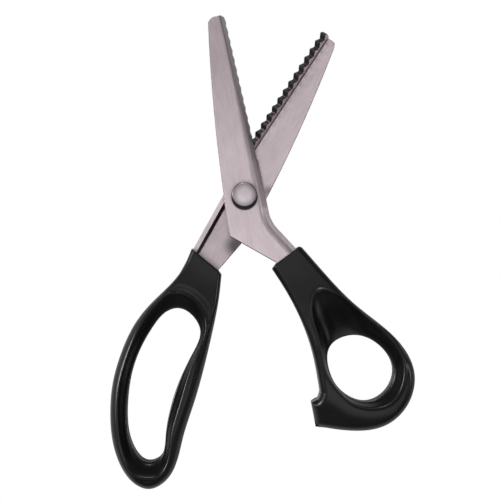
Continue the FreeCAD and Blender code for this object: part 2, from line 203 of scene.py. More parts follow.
def rounded_line(corners, radii, step=0.25):
    """Points every ``step`` or less along straight runs joined by arcs of the given radii."""
    corners = np.array(corners, float)
    pieces = [corners[:1]]
    for before, corner, after, radius in zip(corners, corners[1:], corners[2:], radii):
        arriving = (corner - before) / np.linalg.norm(corner - before)
        leaving = (after - corner) / np.linalg.norm(after - corner)
        turn = math.acos(float(np.clip(arriving @ leaving, -1, 1)))
        tangent = radius * math.tan(turn / 2)
        share = np.linspace(0, 1, max(3, int(radius * turn / step) + 1))[:, None]
        start, end = corner - arriving * tangent, corner + leaving * tangent
        # sines of the turned angle blend the two ends about the arc's own centre
        half_way = (start + end) / 2
        middle = half_way + (half_way - corner) / math.tan(turn / 2) ** 2
        first, second = start - middle, end - middle
        blend = np.sin((1 - share) * turn) * first + np.sin(share * turn) * second
        pieces.append(middle + blend / math.sin(turn))
    pieces.append(corners[-1:])
    line = np.vstack(pieces)
    along = np.concatenate([[0.0], np.cumsum(np.linalg.norm(np.diff(line, axis=0), axis=1))])
    where = np.linspace(0, along[-1], int(round(along[-1] / step)) + 1)
    return np.stack([np.interp(where, along, line[:, axis]) for axis in (0, 1)], axis=-1)


def arc_through(start, middle, end, step=0.5):
    """Points along the circle through three points, from the first to the last."""
    start, middle, end = (complex(*point) for point in (start, middle, end))
    turned = (middle - start) / (end - start)
    centre = start + (end - start) * (abs(turned) ** 2 - turned) / (turned.conjugate() - turned)
    sweep = np.angle((end - centre) / (start - centre))
    count = max(3, int(abs(sweep) * abs(start - centre) / step) + 1)
    points = centre + (start - centre) * np.exp(1j * sweep * np.linspace(0, 1, count))
    return np.stack([points.real, points.imag], axis=-1)


def at_length(curve, place):
    """The points of a closed curve at those lengths along it."""
    loop = np.vstack([curve, curve[:1]])
    along = np.concatenate([[0.0], np.cumsum(np.linalg.norm(np.diff(loop, axis=0), axis=1))])
    place = np.mod(place, along[-1])
    return np.stack([np.interp(place, along, loop[:, axis]) for axis in (0, 1)], axis=-1)


def ramp(value, low, high):
    """0 at ``low`` and before it, 1 at ``high`` and beyond, and a smooth S between."""
    share = np.clip((value - low) / (high - low), 0, 1)
    return share * share * (3 - 2 * share)


# ------------------------------------------------------------------ meshes


def make_object(name, points, *faces, crease=40):
    """A mesh object from points in millimetres and arrays of faces, one array a corner count.

    Edges that turn more than ``crease`` degrees stay sharp.
    """
    corners = np.concatenate([group.ravel() for group in faces])
    sizes = np.concatenate([np.full(len(group), group.shape[1]) for group in faces])
    starts = np.concatenate([[0], np.cumsum(sizes)[:-1]])
    mesh = bpy.data.meshes.new(name)
    mesh.vertices.add(len(points))
    mesh.vertices.foreach_set("co", (points * MM).astype(np.float32).ravel())
    mesh.loops.add(len(corners))
    mesh.loops.foreach_set("vertex_index", corners.astype(np.int32))
    mesh.polygons.add(len(sizes))
    mesh.polygons.foreach_set("loop_start", starts.astype(np.int32))
    mesh.polygons.foreach_set("use_smooth", np.ones(len(sizes), bool))
    mesh.update(calc_edges=True)
    mesh.validate()
    mesh.set_sharp_from_angle(angle=math.radians(crease))
    obj = bpy.data.objects.new(name, mesh)
    bpy.context.scene.collection.objects.link(obj)
    return obj


def ring_faces(rows, columns):
    """Faces of a grid of points that closes on itself both ways."""
    row, column = np.meshgrid(np.arange(rows), np.arange(columns), indexing="ij")
    next_row, next_column = (row + 1) % rows, (column + 1) % columns
    corners = [row * columns + column, row * columns + next_column,
               next_row * columns + next_column, next_row * columns + column]
    return np.stack(corners, axis=-1).reshape(-1, 4)


def slab_surface(name, outer, inner, crease=40):
    """A closed wall between two grids of points, both (stations, columns, 3).

    Every station is a closed loop: along the outer columns and back along the inner ones.  The
    first and last stations are closed by strips from each outer column to its inner one.
    """
    rings = np.concatenate([outer, inner[:, ::-1]], axis=1)
    rows, columns = rings.shape[:2]
    half = columns // 2
    row, column = np.meshgrid(np.arange(rows - 1), np.arange(columns), indexing="ij")
    beside = (column + 1) % columns
    sides = np.stack([row * columns + column, row * columns + beside,
                      (row + 1) * columns + beside, (row + 1) * columns + column],
                     axis=-1).reshape(-1, 4)
    step = np.arange(half - 1)
    first = np.stack([step, columns - 1 - step, columns - 2 - step, step + 1], axis=-1)
    last = first[:, ::-1] + (rows - 1) * columns
    faces = np.concatenate([sides, first, last])
    points = rings.reshape(-1, 3)
    if signed_volume(points, faces) < 0:
        faces = faces[:, ::-1]
    return make_object(name, points, faces, crease=crease)


def signed_volume(points, faces):
    """Six times the volume inside four-cornered faces; negative if they face inward."""
    a, b, c, d = (points[faces[:, corner]] for corner in range(4))
    return (a * np.cross(b, c)).sum() + (a * np.cross(c, d)).sum()


def turned_surface(name, profile, centre, segments=96):
    """A closed surface turned about a vertical axis: (radius, height) from the top pole down.

    The first and last profile points lie on the axis.
    """
    angle = np.arange(segments) * 2 * math.pi / segments
    radius, height = np.array(profile[1:-1]).T
    rings = np.stack([centre[0] + radius[:, None] * np.cos(angle),
                      centre[1] + radius[:, None] * np.sin(angle),
                      np.repeat(height[:, None], segments, axis=1)], axis=-1)
    rows = len(radius)
    row, column = np.meshgrid(np.arange(rows - 1), np.arange(segments), indexing="ij")
    beside = (column + 1) % segments
    quads = np.stack([row * segments + column, (row + 1) * segments + column,
                      (row + 1) * segments + beside, row * segments + beside],
                     axis=-1).reshape(-1, 4)
    top, bottom = rows * segments, rows * segments + 1
    ring = np.arange(segments)
    after = (ring + 1) % segments
    last = (rows - 1) * segments
    caps = np.concatenate([np.stack([ring, after, np.full(segments, top)], axis=-1),
                           np.stack([last + after, last + ring, np.full(segments, bottom)], axis=-1)])
    poles = np.array([[centre[0], centre[1], profile[0][1]], [centre[0], centre[1], profile[-1][1]]])
    return make_object(name, np.vstack([rings.reshape(-1, 3), poles]), quads, caps, crease=50)


# ------------------------------------------------------------------ handles

HOLE_ROWS = 17               # rows of points from the hole's edge to the ridge
SIDE_ROWS = 45               # rows from the ridge to the outline
CROWDING = 0.65              # how much those rows crowd at the ridge and at the outline
SMOOTHING = 20               # neighbours on each side that even out the ridge points
EVENNESS = 0.2               # share of the ridge points' spacing that is wholly even
SHOULDER_DROP = 2.0          # how far the flat shoulder lies below the highest face
BOW_RISE = 1.8               # how much of that the bow gains on the shoulder
MOUTH_ROUNDING = 0.6
BEAD_WIDTH = 1.1             # the fine bead along the ridge
FINGER_BEAD = 0.3
THUMB_BEAD = 0.45
FINGER_CROWN = 0.035         # how strongly the bow rounds off outside the ridge
THUMB_CROWN = 0.029
STEP_DEPTH = 0.8             # the step from the finger handle's shoulder down to its ridge

# distances from the pivot between which each feature comes in or goes out
FINGER_BOW_RISES = (42, 70)
FINGER_LIMB_ROUNDS = (52, 72)
FINGER_STEP_ENDS = (62, 85)
THUMB_BOW_RISES = (42, 80)
THUMB_LIMB_ROUNDS = (70, 100)
THUMB_FUNNEL_ENDS = (80, 100)
THUMB_RIM_RISES = (88, 112)
THUMB_CROWN_COMES = (95, 118)


def matched_rings(outline, ridge, hole, centre):
    """For each outline point, the ridge point and the hole point that go with it.

    The ridge point lies near the foot of the outline point, evened out along the ridge so that
    no two columns meet; the hole point is where the line from the hole's middle line to the
    ridge point crosses the hole's edge.
    """
    count = len(outline)
    _, place = nearest(outline, ridge, True)
    loop = np.vstack([ridge, ridge[:1]])
    total = np.linalg.norm(np.diff(loop, axis=0), axis=1).sum()
    turns = np.unwrap(place, period=total)
    if turns[-1] < turns[0]:
        raise ValueError("the ridge runs the other way round")
    turns = np.maximum.accumulate(turns)
    even = turns[0] + total * np.arange(count) / count
    wrapped = np.concatenate([turns[-SMOOTHING:] - total, turns, turns[:SMOOTHING] + total])
    window = 2 * SMOOTHING + 1
    spread = np.convolve(wrapped, np.ones(window) / window, mode="valid")
    ridge_points = at_length(ridge, (1 - EVENNESS) * spread + EVENNESS * even)
    start, end = np.array(centre)
    run = end - start
    share = np.clip(((ridge_points - start) @ run) / (run @ run), 0, 1)
    middle = start + share[:, None] * run
    outward = ridge_points - middle
    reach = ray_reach(middle, outward, np.vstack([hole, hole[:1]]))
    return ridge_points, middle + reach[:, None] * outward


def edge_drop(distance, width, depth):
    """How far a rounded edge lies below the face: a quarter ellipse ``width`` across."""
    share = 1 - np.clip(distance / width, 0, 1)
    return depth * (1 - np.sqrt(1 - share ** 2))


def handle_surface(name, sides, mouth, ridge, hole, centre, height):
    """A moulded handle round its bow.

    Columns run round the outline; each goes from the hole's edge over the ridge to the
    outline, down the side and back underneath.  ``height`` gives half the thickness at each
    point of the plan, from its distances to the sides, the mouth and the ridge, and from its
    share of the way from the hole's edge (0) to the ridge (1); the underside mirrors the top.
    """
    outline = join(sides, mouth)[:-1]
    ridge_points, hole_points = matched_rings(outline, ridge, hole, centre)
    inner = np.linspace(0, 1, HOLE_ROWS)[:, None, None]
    even = np.linspace(0, 1, SIDE_ROWS)
    crowded = 0.5 - 0.5 * np.cos(math.pi * even)
    outer = ((1 - CROWDING) * even + CROWDING * crowded)[1:, None, None]
    plan = np.vstack([hole_points + inner * (ridge_points - hole_points),
                      ridge_points + outer * (outline - ridge_points)])
    to_side, _ = nearest(plan, sides, False)
    to_mouth, _ = nearest(plan, mouth, False)
    to_ridge, _ = nearest(plan, ridge, True)
    share = np.ones(plan.shape[:2])
    share[:HOLE_ROWS] = inner[:, :, 0]
    half = height(plan, to_side, to_mouth, to_ridge, share)
    upper = np.dstack([plan, MID_HEIGHT + half])
    lower = np.dstack([plan, MID_HEIGHT - half])
    side_wall = np.dstack([plan[-1:], np.full_like(half[-1:], MID_HEIGHT)])
    bore_wall = np.dstack([plan[:1], np.full_like(half[:1], MID_HEIGHT)])
    rings = np.vstack([bore_wall, upper, side_wall, lower[::-1]])
    faces = ring_faces(*rings.shape[:2])
    return make_object(name, rings.reshape(-1, 3), faces)


def finger_height(plan, to_side, to_mouth, to_ridge, share):
    """Flat shoulder, stepped down round the bow; limbs rounded outside and scooped inside.

    The crest is the face less a step below the ridge, the rounded edges and a quadratic crown,
    plus a bell-shaped bead.  Inside the ridge the height falls from the crest to the rim.
    """
    reach = np.linalg.norm(plan - PIVOT, axis=-1)
    face = HANDLE_HALF - SHOULDER_DROP + BOW_RISE * ramp(reach, *FINGER_BOW_RISES)
    limb = ramp(reach, *FINGER_LIMB_ROUNDS)
    edge = edge_drop(to_side, 2.2 + 2.2 * limb, 2.6 + 3.0 * limb)
    edge += edge_drop(to_mouth, MOUTH_ROUNDING, MOUTH_ROUNDING)
    away = np.where(share < 1, 0, to_ridge)
    near_ridge = (1 - ramp(away, 1.4, 5.0)) * ramp(to_side, 0.5, 5.0)
    step = STEP_DEPTH * near_ridge * (1 - ramp(reach, *FINGER_STEP_ENDS))
    bead = FINGER_BEAD * np.exp(-(to_ridge / BEAD_WIDTH) ** 2)
    crown = FINGER_CROWN * np.clip(away - 1.0, 0, 5) ** 2 * limb
    crest = face - step - edge + bead - crown
    rim = 2.0 + 2.0 * limb
    rise = share ** 1.3
    rise += limb * (ramp(share, 0, 1) - rise)
    return rim + (crest - rim) * rise


def thumb_height(plan, to_side, to_mouth, to_ridge, share):
    """Flat neck with a deep funnel down to the bow, and a rounded rim round the bow.

    The crest is the face less the rounded edges and a crown, plus a bell-shaped bead.  The crown
    is quadratic near the ridge and straight beyond it.  Inside the ridge the height falls from
    the crest to the rim, as a power of the share by the funnel and as an S round the bow.
    """
    reach = np.linalg.norm(plan - PIVOT, axis=-1)
    face = HANDLE_HALF - SHOULDER_DROP + BOW_RISE * ramp(reach, *THUMB_BOW_RISES)
    limb = ramp(reach, *THUMB_LIMB_ROUNDS)
    edge = edge_drop(to_side, 2.6 + 1.2 * limb, 2.8 + 1.4 * limb)
    edge += edge_drop(to_mouth, MOUTH_ROUNDING, MOUTH_ROUNDING)
    bead = THUMB_BEAD * np.exp(-(to_ridge / BEAD_WIDTH) ** 2)
    away = np.where(share < 1, 0, to_ridge)
    out = np.clip(away - 1.5, 0, None)
    crown = THUMB_CROWN * (out ** 2 - np.clip(out - 7, 0, None) ** 2)
    crown *= ramp(reach, *THUMB_CROWN_COMES)
    crest = face - edge + bead - crown
    rim = 1.2 + 2.6 * ramp(reach, *THUMB_RIM_RISES)
    rise = share ** 1.6
    rise += ramp(reach, *THUMB_FUNNEL_ENDS) * (ramp(share, 0, 1) - rise)
    return rim + (crest - rim) * rise


finger_sides = spline(FINGER_OUTSIDE)
finger_handle = handle_surface("finger_grip", finger_sides, straight(FINGER_MOUTH),
                               spline(FINGER_RIDGE[::-1], True), spline(FINGER_HOLE[::-1], True),
                               FINGER_CENTRE, finger_height)
thumb_sides = join(spline(THUMB_OUTSIDE), straight(THUMB_BEAK_END), spline(THUMB_BEAK_TOP),
                   spline(THUMB_INSIDE))
thumb_handle = handle_surface("thumb_grip", thumb_sides, straight(THUMB_MOUTH),
                              spline(THUMB_RIDGE, True), spline(THUMB_HOLE, True),
                              THUMB_CENTRE, thumb_height)

# ------------------------------------------------------------------ blades
# Each blade has its own frame: v runs from the pivot to the tip, u towards the cutting side, and
# z outward from the mid plane between the two blades.

FRONT_ANGLE = 12.9                                 # degrees from Y at rest
REAR_ANGLE = 33.2
FRONT_TURN = math.radians(FRONT_ANGLE)
REAR_TURN = math.radians(-REAR_ANGLE)
PLATE_THICKNESS = 2.0
PLATE_OUTER = MID_HEIGHT - PLATE_BOTTOM            # the plate's outer face, from the mid plane
PLATE_INNER = PLATE_OUTER - PLATE_THICKNESS
SEAM = 8.0                                         # u of the bend line beside the strip
STRIP_START = 16.0                                 # v where the strip begins
EDGE_LEVEL = 0.15                                  # z at half the teeth's height
EDGE_STEPS = np.array([0, 0.06, 0.14, 0.24, 0.36, 0.6])    # rows over the rolled back edge
PLATE_COLUMNS = 40
BEND_COLUMNS = 9
FLANGE_LEAN = 2.4                                  # how far the neck's flange leans out
FLANGE_ACROSS = 2.2                                # its thickness in the plan
LIP_REACH = 0.75                                   # the low lip that the strip is welded to
LIP_DEPTH = 1.5
LIP_FADE = 0.3                                     # half the length over which flange meets lip
CHAMFER = 0.15
CHAMFER_SLOPE = 0.9
FRONT_TIP_BEND = 1.1                               # bend radii
FRONT_NECK_BEND = 4.2
REAR_BEND = 0.5
FIRST_TOOTH = 26.94                                # radius of the rear strip's first crest
TOOTH_PITCH = 4.76
TOOTH_HALF_HEIGHT = 1.2
TOOTH_FLAT = 0.4
STRIP_STEP = 0.2
STRIP_COLUMNS = 14
TIP_ROUND = 1.8
SHADED_EDGE_SLOT, LIT_FLANK_SLOT = 1, 2                      # material places on a strip: painted shade and painted light on its toothed edge


def place_front(points):
    """From the front blade's frame to its place: turned about the pivot by its open angle."""
    u, v, z = np.moveaxis(points, -1, 0)
    return np.stack([PIVOT[0] + u * math.cos(FRONT_TURN) - v * math.sin(FRONT_TURN),
                     PIVOT[1] + u * math.sin(FRONT_TURN) + v * math.cos(FRONT_TURN),
                     MID_HEIGHT + z], axis=-1)


def place_rear(points):
    """From the rear blade's frame to its place: turned over about Y, then about the pivot."""
    u, v, z = np.moveaxis(points, -1, 0)
    return np.stack([PIVOT[0] - u * math.cos(REAR_TURN) - v * math.sin(REAR_TURN),
                     PIVOT[1] - u * math.sin(REAR_TURN) + v * math.cos(REAR_TURN),
                     MID_HEIGHT - z], axis=-1)


def bent_section(back, bend_radius, foot):
    """Distances inward and heights of the plate's outer face and of its flange's outer face.

    Straight in from the back edge, round a bend whose radius may differ from station to
    station, and down the leaning wall to ``foot``.
    """
    angle = math.atan2(PLATE_OUTER - EDGE_LEVEL, FLANGE_LEAN)
    tangent = bend_radius * math.tan(angle / 2)
    flat_share = np.linspace(0, 1, PLATE_COLUMNS)[1:]
    start = back - EDGE_STEPS[-1]
    flat = start[:, None] + (tangent - start)[:, None] * flat_share
    plate = np.concatenate([back[:, None] - EDGE_STEPS, flat], axis=1)
    turn = np.linspace(0, angle, BEND_COLUMNS)[1:]
    arc = tangent[:, None] - bend_radius[:, None] * np.sin(turn)
    arc_height = PLATE_OUTER - bend_radius[:, None] * (1 - np.cos(turn))
    share = np.linspace(0, 1, BEND_COLUMNS)[1:]
    wall = arc[:, -1:] + (-foot[:, :1] - arc[:, -1:]) * share
    wall_height = arc_height[:, -1:] + (foot[:, 1:] - arc_height[:, -1:]) * share
    inward = np.concatenate([plate, arc, wall], axis=1)
    height = np.concatenate([np.full_like(plate, PLATE_OUTER), arc_height, wall_height], axis=1)
    return inward, height


def blade_surface(name, line, back, bend_radius, rounding, place):
    """A stamped plate with its rolled edge, and the leaning flange along the neck.

    Stations follow the bend line; each section runs square to it from the back edge over the
    bend and down the flange.  Beside the toothed strip the flange is only a lip.  Each point
    also keeps its distance to the back edge, in millimetres, for the material.
    """
    along = np.gradient(line, axis=0)
    along /= np.linalg.norm(along, axis=1)[:, None]
    inward_way = np.stack([along[:, 1], -along[:, 0]], axis=-1)
    reach = ray_reach(line, inward_way, back)
    neck = ramp(-line[:, 1], -STRIP_START - LIP_FADE, -STRIP_START + LIP_FADE)[:, None]
    lip = np.array([LIP_REACH, PLATE_OUTER - LIP_DEPTH])
    flange = np.array([FLANGE_LEAN, EDGE_LEVEL])
    inward, height = bent_section(reach, bend_radius(line[:, 1]), lip + (flange - lip) * neck)
    # the inner face keeps the flange's thickness by the neck and is a chamfered edge at the lip
    flange_inward = np.minimum(inward + FLANGE_ACROSS * ramp(-inward, -3.5, 0.2), reach[:, None])
    on_plate = height > PLATE_OUTER - 1e-6
    flange_height = np.minimum(np.where(on_plate, PLATE_INNER, height), PLATE_INNER)
    lip_inward = np.clip(inward, 0, None)
    lip_height = PLATE_INNER + np.clip(CHAMFER - lip_inward, 0, None) * CHAMFER_SLOPE
    inner_inward = lip_inward + (flange_inward - lip_inward) * neck
    inner_height = lip_height + (flange_height - lip_height) * neck

    def grid(distance, level):
        plan = line[:, None] + distance[..., None] * inward_way[:, None]
        return np.dstack([plan, level])

    outer, inner = grid(inward, height), grid(inner_inward, inner_height)
    to_back, _ = nearest(outer[..., :2], back, False)
    drop = edge_drop(to_back, rounding, rounding)
    outer[..., 2] -= drop
    inner[..., 2] += drop
    blade = slab_surface(name, place(outer), place(inner))
    edge_run = blade.data.attributes.new("to_edge", "FLOAT", "POINT")
    edge_run.data.foreach_set("value", np.concatenate([to_back, to_back[:, ::-1]], axis=1).ravel())
    return blade


FRONT_BACK = np.vstack([
    [(8.05, 88.7)], arc_through((8.0, 88.7), (4.6, 88.7), (1.3, 86.3))[1:],
    arc_through((1.3, 86.3), (-6.3, 38.0), (-11.6, -18.4)),
    [(7.3, -35.7), (15.0, -46.0), (23.0, -60.0)]])
REAR_BACK = np.vstack([
    [(8.05, 88.7)], arc_through((8.0, 88.7), (6.0, 88.7), (3.9, 88.3))[1:],
    arc_through((2.9, 86.2), (-5.3, 42.0), (-12.0, -19.5)), [(-9.5, -38.1), (-3.0, -60.0)]])
FRONT_LINE = rounded_line([(SEAM, 88.6), (SEAM, STRIP_START), (7.4, -16.2), (25.0, -46.7)],
                          [200.0, 19.4])
REAR_LINE = rounded_line([(SEAM, 88.6), (SEAM, STRIP_START), (6.5, -5.5), (2.9, -56.0)],
                         [200.0, 60.0])
FRONT_STRIP_OUTER = [(8.3, 4.75), (9.7, 2.0), (10.3, -1.3)]        # broken lines of (u, z)
FRONT_STRIP_INNER = [(7.2, 3.4), (7.9, 1.4), (8.4, -1.3)]
REAR_STRIP_OUTER = [(8.3, 5.3), (9.4, 5.2), (11.6, 1.2), (12.7, -1.3)]
REAR_STRIP_INNER = [(8.1, 4.2), (8.2, 3.6), (9.0, 1.2), (9.8, -1.3)]


def front_bend(v):
    """Bend radius along the front blade: crisp at the tip, rolled softly towards the neck."""
    return FRONT_TIP_BEND + (FRONT_NECK_BEND - FRONT_TIP_BEND) * (1 - ramp(v, 10, 78))


def rear_bend(v):
    """Bend radius along the rear blade: the same crisp bend from tip to neck."""
    return np.full_like(v, REAR_BEND)


def tooth_level(u, v, side):
    """Height of the toothed edge at a point of the plan: flat-topped waves of its radius."""
    radius = np.hypot(u, v)
    phase = np.abs((radius - FIRST_TOOTH + TOOTH_PITCH / 2) % TOOTH_PITCH - TOOTH_PITCH / 2)
    rise = TOOTH_PITCH / 2 - TOOTH_FLAT
    wave = 1 - 2 * np.clip((phase - TOOTH_FLAT / 2) / rise, 0, 1)
    wave = np.where(radius < FIRST_TOOTH - TOOTH_PITCH / 4, 0, wave)
    return EDGE_LEVEL + side * TOOTH_HALF_HEIGHT * wave


def strip_surface(name, outer_section, inner_section, tip, side, place):
    """A leaning wall whose free edge is toothed in circles about the pivot.

    Both faces follow broken lines of (distance, height); each column is cut off where the
    toothed edge crosses it, found by a few rounds of substitution.  The tip is rounded: no
    point lies farther out than a quarter circle there.
    """
    v = np.linspace(tip, STRIP_START, int((tip - STRIP_START) / STRIP_STEP) + 1)
    past = np.clip(v - tip + TIP_ROUND, 0, TIP_ROUND)
    limit = outer_section[-1][0] - TIP_ROUND
    limit = limit + np.sqrt(np.clip(TIP_ROUND ** 2 - past ** 2, 0, None))
    share = np.linspace(0, 1, STRIP_COLUMNS)
    grids = []
    for section in (outer_section, inner_section):
        distances, heights = np.array(section).T
        reach = np.full_like(v, distances[-1])
        for _ in range(8):
            level = tooth_level(reach, v, side)
            reach = np.interp(-level, -heights, distances)
        height = heights[0] + (level[:, None] - heights[0]) * share
        distance = np.minimum(np.interp(-height, -heights, distances), limit[:, None])
        grids.append(np.dstack([distance, np.repeat(v[:, None], STRIP_COLUMNS, axis=1), height]))
    strip = slab_surface(name, place(grids[0]), place(grids[1]), crease=30)
    # painted light on the flank of each tooth that faces the tip on the rear strip, and painted
    # shade on the rest of the toothed edge: lighter and darker copies of the strip's steel
    finish = np.zeros((len(v) - 1, 2 * STRIP_COLUMNS), np.int32)
    rise = side * np.diff(level)
    finish[:, STRIP_COLUMNS - 1] = np.where(rise > 0.02, LIT_FLANK_SLOT, SHADED_EDGE_SLOT)
    index = np.zeros(len(strip.data.polygons), np.int32)
    index[:finish.size] = finish.ravel()
    strip.data.polygons.foreach_set("material_index", index)
    return strip


front_plate = blade_surface("front_blade_steel", FRONT_LINE, FRONT_BACK, front_bend, 0.2,
                            place_front)
rear_plate = blade_surface("rear_blade_steel", REAR_LINE, REAR_BACK, rear_bend, 0.4, place_rear)
front_strip = strip_surface("front_strip_steel", FRONT_STRIP_OUTER, FRONT_STRIP_INNER, 88.5, 1,
                            place_front)
rear_strip = strip_surface("rear_strip_steel", REAR_STRIP_OUTER, REAR_STRIP_INNER, 89.4, -1,
                           place_rear)

# ------------------------------------------------------------------ pivot bolt

HEAD_BASE = MID_HEIGHT + PLATE_OUTER
HEAD_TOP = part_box("pivot_bolt")[1][2] / MM
HEAD_RADIUS = (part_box("pivot_bolt")[1][0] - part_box("pivot_bolt")[0][0]) / MM / 2
HEAD_ROUNDING = 0.7
HEAD_DOME = 0.3
HEAD_ROUNDING_DEPTH = 0.6
SHANK_RADIUS = 3.0


def bolt_profile():
    """Low dome inside a rounded edge, the head's side, and the shank.

    The dome falls with the square of the radius; the edge is a quarter ellipse.
    """
    rim = HEAD_RADIUS - HEAD_ROUNDING
    radius = np.linspace(0, rim, 24)
    face = HEAD_TOP - HEAD_DOME * (radius / rim) ** 2
    turn = np.linspace(0.14, math.pi / 2, 9)[1:]
    edge_radius = rim + HEAD_ROUNDING * np.sin(turn)
    edge = HEAD_TOP - HEAD_DOME - HEAD_ROUNDING_DEPTH * (1 - np.cos(turn))
    profile = list(zip(radius, face)) + list(zip(edge_radius, edge))
    profile += [(HEAD_RADIUS, HEAD_BASE + 0.25), (HEAD_RADIUS - 0.2, HEAD_BASE),
                (SHANK_RADIUS, HEAD_BASE), (SHANK_RADIUS, 0.4), (SHANK_RADIUS - 0.4, 0.0),
                (0.0, 0.0)]
    return profile


bolt = turned_surface("bolt_steel_head", bolt_profile(), PIVOT)

# ------------------------------------------------------------------ material nodes


def new_material(name):
    material = bpy.data.materials.new(name)
    material.use_nodes = True
    nodes, links = material.node_tree.nodes, material.node_tree.links
    return material, nodes, links, nodes["Principled BSDF"]


def object_coordinates(nodes):
    return nodes.new("ShaderNodeTexCoord").outputs["Object"]


def noise(nodes, links, vector, scale, detail=4.0, roughness=0.5):
    node = nodes.new("ShaderNodeTexNoise")
    node.inputs["Scale"].default_value = scale
    node.inputs["Detail"].default_value = detail
    node.inputs["Roughness"].default_value = roughness
    links.new(vector, node.inputs["Vector"])
    return node.outputs["Fac"]


def turned(nodes, links, angle, stretch):
    """Object coordinates turned about Z and stretched, for marks that run one way."""
    turn = nodes.new("ShaderNodeMapping")
    turn.vector_type = "TEXTURE"
    turn.inputs["Rotation"].default_value = (0, 0, angle)
    links.new(object_coordinates(nodes), turn.inputs["Vector"])
    pull = nodes.new("ShaderNodeMapping")
    pull.inputs["Scale"].default_value = stretch
    links.new(turn.outputs["Vector"], pull.inputs["Vector"])
    return pull.outputs["Vector"]


def colour_ramp(nodes, links, fac, stops):
    node = nodes.new("ShaderNodeValToRGB")
    while len(node.color_ramp.elements) < len(stops):
        node.color_ramp.elements.new(0.5)
    for element, (position, colour) in zip(node.color_ramp.elements, stops):
        element.position = position
        element.color = (*colour, 1)
    links.new(fac, node.inputs["Fac"])
    return node.outputs["Color"]


def between(nodes, links, fac, low, high):
    """A value from ``low`` to ``high`` as ``fac`` goes from 0 to 1."""
    node = nodes.new("ShaderNodeMapRange")
    node.inputs["To Min"].default_value = low
    node.inputs["To Max"].default_value = high
    links.new(fac, node.inputs["Value"])
    return node.outputs["Result"]


def eased(nodes, links, value, start, end, low=0.0, high=1.0):
    """A value from ``low`` to ``high`` along a smooth S as ``value`` goes from start to end."""
    node = nodes.new("ShaderNodeMapRange")
    node.interpolation_type = "SMOOTHSTEP"
    for socket, number in (("From Min", start), ("From Max", end), ("To Min", low),
                           ("To Max", high)):
        node.inputs[socket].default_value = number
    links.new(value, node.inputs["Value"])
    return node.outputs["Result"]


def computed(nodes, links, operation, *values):
    """The result of a Math node whose inputs are sockets or numbers."""
    node = nodes.new("ShaderNodeMath")
    node.operation = operation
    for socket, value in zip(node.inputs, values):
        if isinstance(value, float):
            socket.default_value = value
        else:
            links.new(value, socket)
    return node.outputs[0]


def vector_computed(nodes, links, operation, vector, constant):
    """The result of a Vector Math node on a socket and a constant vector."""
    node = nodes.new("ShaderNodeVectorMath")
    node.operation = operation
    links.new(vector, node.inputs[0])
    node.inputs[1].default_value = constant
    return node.outputs["Value" if operation in ("DISTANCE", "DOT_PRODUCT") else "Vector"]


def bump(nodes, links, shader, height, strength, distance):
    node = nodes.new("ShaderNodeBump")
    node.inputs["Strength"].default_value = strength
    node.inputs["Distance"].default_value = distance
    links.new(height, node.inputs["Height"])
    links.new(node.outputs["Normal"], shader.inputs["Normal"])


def multiplied(nodes, links, colour, share):
    """A colour times a grey value: a Mix node's sockets 6 and 7 are its colours, 2 its result."""
    product = nodes.new("ShaderNodeMix")
    product.data_type = "RGBA"
    product.blend_type = "MULTIPLY"
    product.inputs[0].default_value = 1.0
    links.new(colour, product.inputs[6])
    links.new(share, product.inputs[7])
    return product.outputs[2]


def ring_fade(nodes, links, centre, inner, outer, low, high):
    """A value running from ``low`` to ``high`` between two radii about a point of the plan."""
    plan = vector_computed(nodes, links, "MULTIPLY", object_coordinates(nodes), (1, 1, 0))
    distance = vector_computed(nodes, links, "DISTANCE", plan,
                               (centre[0] * MM, centre[1] * MM, 0))
    return eased(nodes, links, distance, inner * MM, outer * MM, low, high)


def shade_ring(nodes, links, colour, centre, inner, outer, strength):
    """Darken a colour round a point of the plan: by ``strength`` at ``inner``, fading out."""
    fade = ring_fade(nodes, links, centre, inner, outer, 1 - strength, 1.0)
    return multiplied(nodes, links, colour, fade)


def shade_band(nodes, links, colour, start, end, near, far, factor, soft=0.06):
    """Multiply a colour by ``factor`` in a band beside the line from ``start`` to ``end``.

    The band lies between the distances ``near`` and ``far`` to the line's right, with edges
    that fade over ``soft`` on both sides.
    """
    start, end = np.array(start[:2]), np.array(end[:2])
    length = np.linalg.norm(end - start)
    along = (end - start) / length
    offset = vector_computed(nodes, links, "SUBTRACT", object_coordinates(nodes),
                             (start[0] * MM, start[1] * MM, 0))
    inside = None
    for way, low, high in (((along[0], along[1], 0), 0, length),
                           ((along[1], -along[0], 0), near, far)):
        run = vector_computed(nodes, links, "DOT_PRODUCT", offset, way)
        for first, second in ((low - soft, low + soft), (high + soft, high - soft)):
            fade = eased(nodes, links, run, first * MM, second * MM)
            inside = fade if inside is None else computed(nodes, links, "MULTIPLY", inside, fade)
    product = nodes.new("ShaderNodeMix")
    product.data_type = "RGBA"
    product.blend_type = "MULTIPLY"
    product.inputs[7].default_value = (factor, factor, factor, 1)
    links.new(inside, product.inputs[0])
    links.new(colour, product.inputs[6])
    return product.outputs[2]


def paint_edge_shade(nodes, links, colour, factor, width):
    """Darken a colour along a blade's rounded edge, from the piece's own distance to it: painted
    shade.
    """
    distance = nodes.new("ShaderNodeAttribute")
    distance.attribute_name = "to_edge"
    fade = eased(nodes, links, distance.outputs["Fac"], width / 2, width, factor, 1.0)
    return multiplied(nodes, links, colour, fade)


# ------------------------------------------------------------------ finishes


STREAK_SCALE, STREAK_STRETCH = 4200, (1, 0.03, 0.15)
MOTTLE_SCALE, MOTTLE_STRETCH = 160, (1, 0.5, 0.5)
STREAK_SHARE = 0.55
GRAIN_SCALE = 5200
RUB_SCALE = 70
FUNNEL = (45.0, -60.5)
FINGER_BOTTOM = (-48.0, -135.5)


